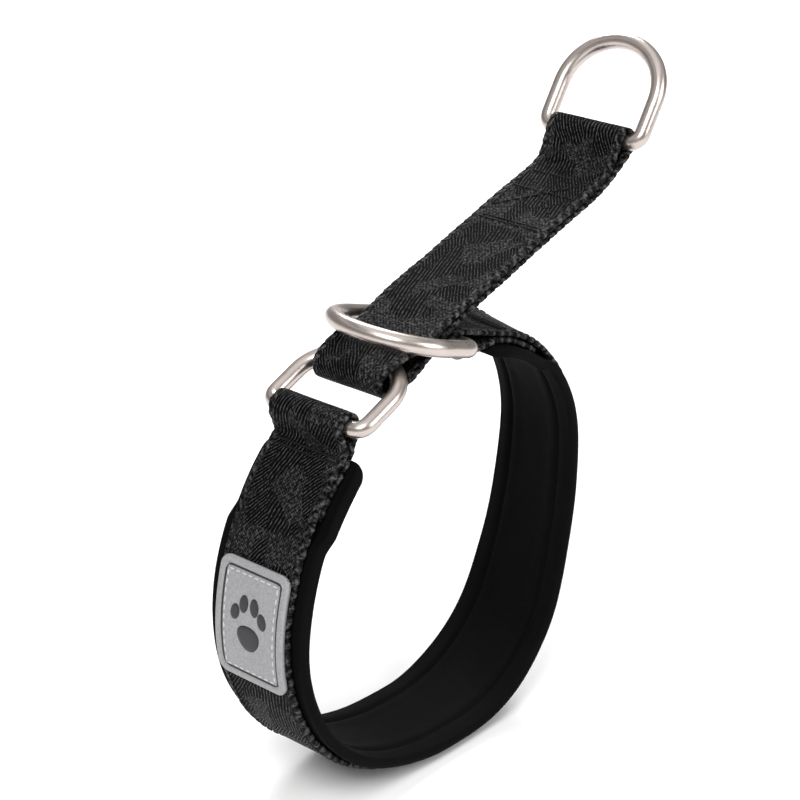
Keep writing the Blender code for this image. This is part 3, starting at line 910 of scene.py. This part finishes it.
def loop_strip(name, hu, hw, r, half, h, mat):
    """A flat inlaid line that follows a rounded rectangle on the label."""
    pts = []
    for cu, cw, a0 in ((hu - r, hw - r, 0), (-hu + r, hw - r, 90), (-hu + r, -hw + r, 180), (hu - r, -hw + r, 270)):
        pts += [(cu + r * math.cos(math.radians(a0 + 90 * k / 8)), cw + r * math.sin(math.radians(a0 + 90 * k / 8))) for k in range(9)]
    P, t = resample(pts, 0.5, True)
    T = np.roll(P, -1, 0) - np.roll(P, 1, 0)
    T /= np.linalg.norm(T, axis=1)[:, None]
    N = np.stack([-T[:, 1], T[:, 0]], 1)
    V, F = [], []
    sec = [(-1, -0.1), (-0.8, 0.06), (0, 0.10), (0.8, 0.06), (1, -0.1), (0, -0.16)]
    for i in range(len(P)):
        for a, b in sec:
            q = P[i] + N[i] * half * a
            V.append(on_label(q[0], q[1], h + b))
    m = len(sec)
    for i in range(len(P)):
        j = (i + 1) % len(P)
        for k in range(m):
            l = (k + 1) % m
            F.append((i * m + k, j * m + k, j * m + l, i * m + l))
    return finish_strip(name, np.array(V), F, np.zeros((len(V), 2)), mat)


label_line = loop_strip("label_border_line", HU - 2.1, HW - 2.1, 1.9, 0.31, 0.88, INK)


def label_stitch_rows():
    out = []
    hu, hw = HU - 3.05, HW - 3.05
    for w in (-hw, hw):
        n = 11
        for i in range(n):
            u0 = -hu + 2 * hu * (i + 0.2) / n
            u1 = -hu + 2 * hu * (i + 0.8) / n
            out.append((on_label(u0, w, 1.04), on_label(u1, w, 1.04)))
    for u in (-hu, hu):
        n = 8
        for i in range(n):
            w0 = -hw + 2 * hw * (i + 0.2) / n
            w1 = -hw + 2 * hw * (i + 0.8) / n
            out.append((on_label(u, w0, 1.04), on_label(u, w1, 1.04)))
    return out


label_threads = stitches("label_stitching_threads", label_stitch_rows(), THREAD_LIGHT, 0.2)


def moulded_pad(name, u0, w0, ru, rw, turn, rise=0.42, lobes=0.0):
    """One pad of the paw mark: a low dome with a crisp moulded edge."""
    V, F = [], []
    rings, m = 7, 40
    a0 = math.radians(turn)
    for i in range(rings + 1):
        rr = i / rings
        for k in range(m):
            a = 2 * math.pi * k / m
            shape = 1.0 + lobes * (0.5 * math.cos(3 * a + math.pi) + 0.2 * math.cos(2 * a))
            x, y = rr * ru * shape * math.cos(a), rr * rw * shape * math.sin(a)
            u = u0 + x * math.cos(a0) - y * math.sin(a0)
            w = w0 + x * math.sin(a0) + y * math.cos(a0)
            h = 1.0 + rise * (1 - rr ** 4) ** 0.5 if i < rings else 0.96
            V.append(on_label(u, w, h))
    for i in range(rings):
        for k in range(m):
            l = (k + 1) % m
            F.append((i * m + k, (i + 1) * m + k, (i + 1) * m + l, i * m + l))
    F.append(tuple(rings * m + k for k in range(m)))
    ob = finish_strip(name, np.array(V), F, np.zeros((len(V), 2)), INK)
    bm = bmesh.new()
    bm.from_mesh(ob.data)
    bmesh.ops.remove_doubles(bm, verts=bm.verts, dist=1e-6)
    bm.to_mesh(ob.data)
    bm.free()
    return ob


paws = {}
for pname, spec in (("label_paw_pad", (-3.0, 0.0, 3.2, 3.9, 0)), ("label_paw_toe_1", (2.4, -4.3, 2.1, 1.5, 18)),
                    ("label_paw_toe_2", (5.0, -1.6, 2.3, 1.5, 6)), ("label_paw_toe_3", (5.0, 1.9, 2.3, 1.5, -6)),
                    ("label_paw_toe_4", (2.4, 4.6, 2.1, 1.5, -18))):
    paws[pname] = moulded_pad(pname + "_moulded", *spec, rise=0.30, lobes=0.10 if "pad" in pname else 0.0)

# ------------------------------------------------------------------ joining it to the frame
for piece in (collar_webbing, collar_lining, edge_stitching, lining_stitching):
    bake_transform(piece)
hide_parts("webbing_left", "webbing_main")
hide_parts("lining_left", "lining_main")
edge_nodes = [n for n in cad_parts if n.startswith("edge_stitching")]
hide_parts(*edge_nodes)
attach(join_ring, "joining_ring"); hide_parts("joining_ring")
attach(slip_ring, "slip_ring"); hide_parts("slip_ring")
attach(leash_ring, "leash_ring"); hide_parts("leash_ring")
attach(control_strap, "control_strap"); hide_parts("control_strap")
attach(left_tack, "left_band"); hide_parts("left_loop_bartack")
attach(right_tack, "band"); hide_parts("right_loop_bartack")
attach(strap_low_tack, "control_strap"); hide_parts("strap_lower_bartack")
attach(strap_top_tack, "control_strap"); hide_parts("strap_upper_bartack")
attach(label_base, "left_band"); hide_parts("label_base", "label_rim")
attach(label_line, "left_band")
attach(label_threads, "left_band"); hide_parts("label_stitching")
for pname, ob in paws.items():
    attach(ob, "left_band"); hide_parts(pname)

# ------------------------------------------------------------------ stage, light and camera
floor_me = bpy.data.meshes.new("floor")
bm = bmesh.new()
bmesh.ops.create_grid(bm, x_segments=2, y_segments=2, size=3.0)
bm.to_mesh(floor_me)
bm.free()
floor = bpy.data.objects.new("floor", floor_me)
floor.location = (0, 0, -0.0004)
bpy.context.scene.collection.objects.link(floor)
fm = bpy.data.materials.new("floor_paper")
fm.use_nodes = True
fb = fm.node_tree.nodes["Principled BSDF"]
fb.inputs["Base Color"].default_value = (0.97, 0.97, 0.97, 1)
fb.inputs["Roughness"].default_value = 0.9
floor_me.materials.append(fm)

world = bpy.data.worlds.new("studio")
bpy.context.scene.world = world
world.use_nodes = True
wt = world.node_tree
bg = wt.nodes["Background"]
tc = wt.nodes.new("ShaderNodeTexCoord")
sep = wt.nodes.new("ShaderNodeSeparateXYZ")
ramp = wt.nodes.new("ShaderNodeValToRGB")
wt.links.new(tc.outputs["Generated"], sep.inputs[0])
wt.links.new(sep.outputs[2], ramp.inputs[0])
ramp.color_ramp.elements[0].position = 0.50
ramp.color_ramp.elements[0].color = (0.30, 0.29, 0.285, 1)
ramp.color_ramp.elements[1].position = 1.0
ramp.color_ramp.elements[1].color = (1.0, 1.0, 1.0, 1)
for where, level in ((0.60, 0.95), (0.70, 0.28), (0.80, 0.30), (0.90, 1.0)):
    stop = ramp.color_ramp.elements.new(where)
    stop.color = (level, level * 0.99, level * 0.985, 1)
wt.links.new(ramp.outputs[0], bg.inputs[0])
bg.inputs[1].default_value = 1.1


def area(name, loc, target, size, power, size_y=None):
    l = bpy.data.lights.new(name, "AREA")
    l.energy = power
    l.size = size
    if size_y:
        l.shape = "RECTANGLE"
        l.size_y = size_y
    o = bpy.data.objects.new(name, l)
    o.location = loc
    o.rotation_euler = (Vector(target) - Vector(loc)).to_track_quat("-Z", "Y").to_euler()
    bpy.context.scene.collection.objects.link(o)
    return o


TARGET = Vector((-0.01758, 0, 0.09625))
area("key", (-0.75, -0.35, 0.95), TARGET, 0.5, 9.0)
area("fill", (0.25, -0.95, 0.55), TARGET, 0.6, 5.0)
area("rim", (0.55, 0.55, 0.75), TARGET, 0.4, 6.0)

az, el, dist = math.radians(-48.0), math.radians(23.0), 0.543
cam = bpy.data.cameras.new("camera")
cam.sensor_width = 36.0
cam.lens = 36.0 * 2200.0 / 800.0
cam.clip_start = 0.01
co = bpy.data.objects.new("camera", cam)
bpy.context.scene.collection.objects.link(co)
backv = Vector((math.sin(az) * math.cos(el), -math.cos(az) * math.cos(el), math.sin(el)))
co.location = TARGET + backv * dist
co.rotation_euler = (-backv).to_track_quat("-Z", "Y").to_euler()
bpy.context.scene.camera = co
bpy.context.scene.view_settings.view_transform = "Standard"
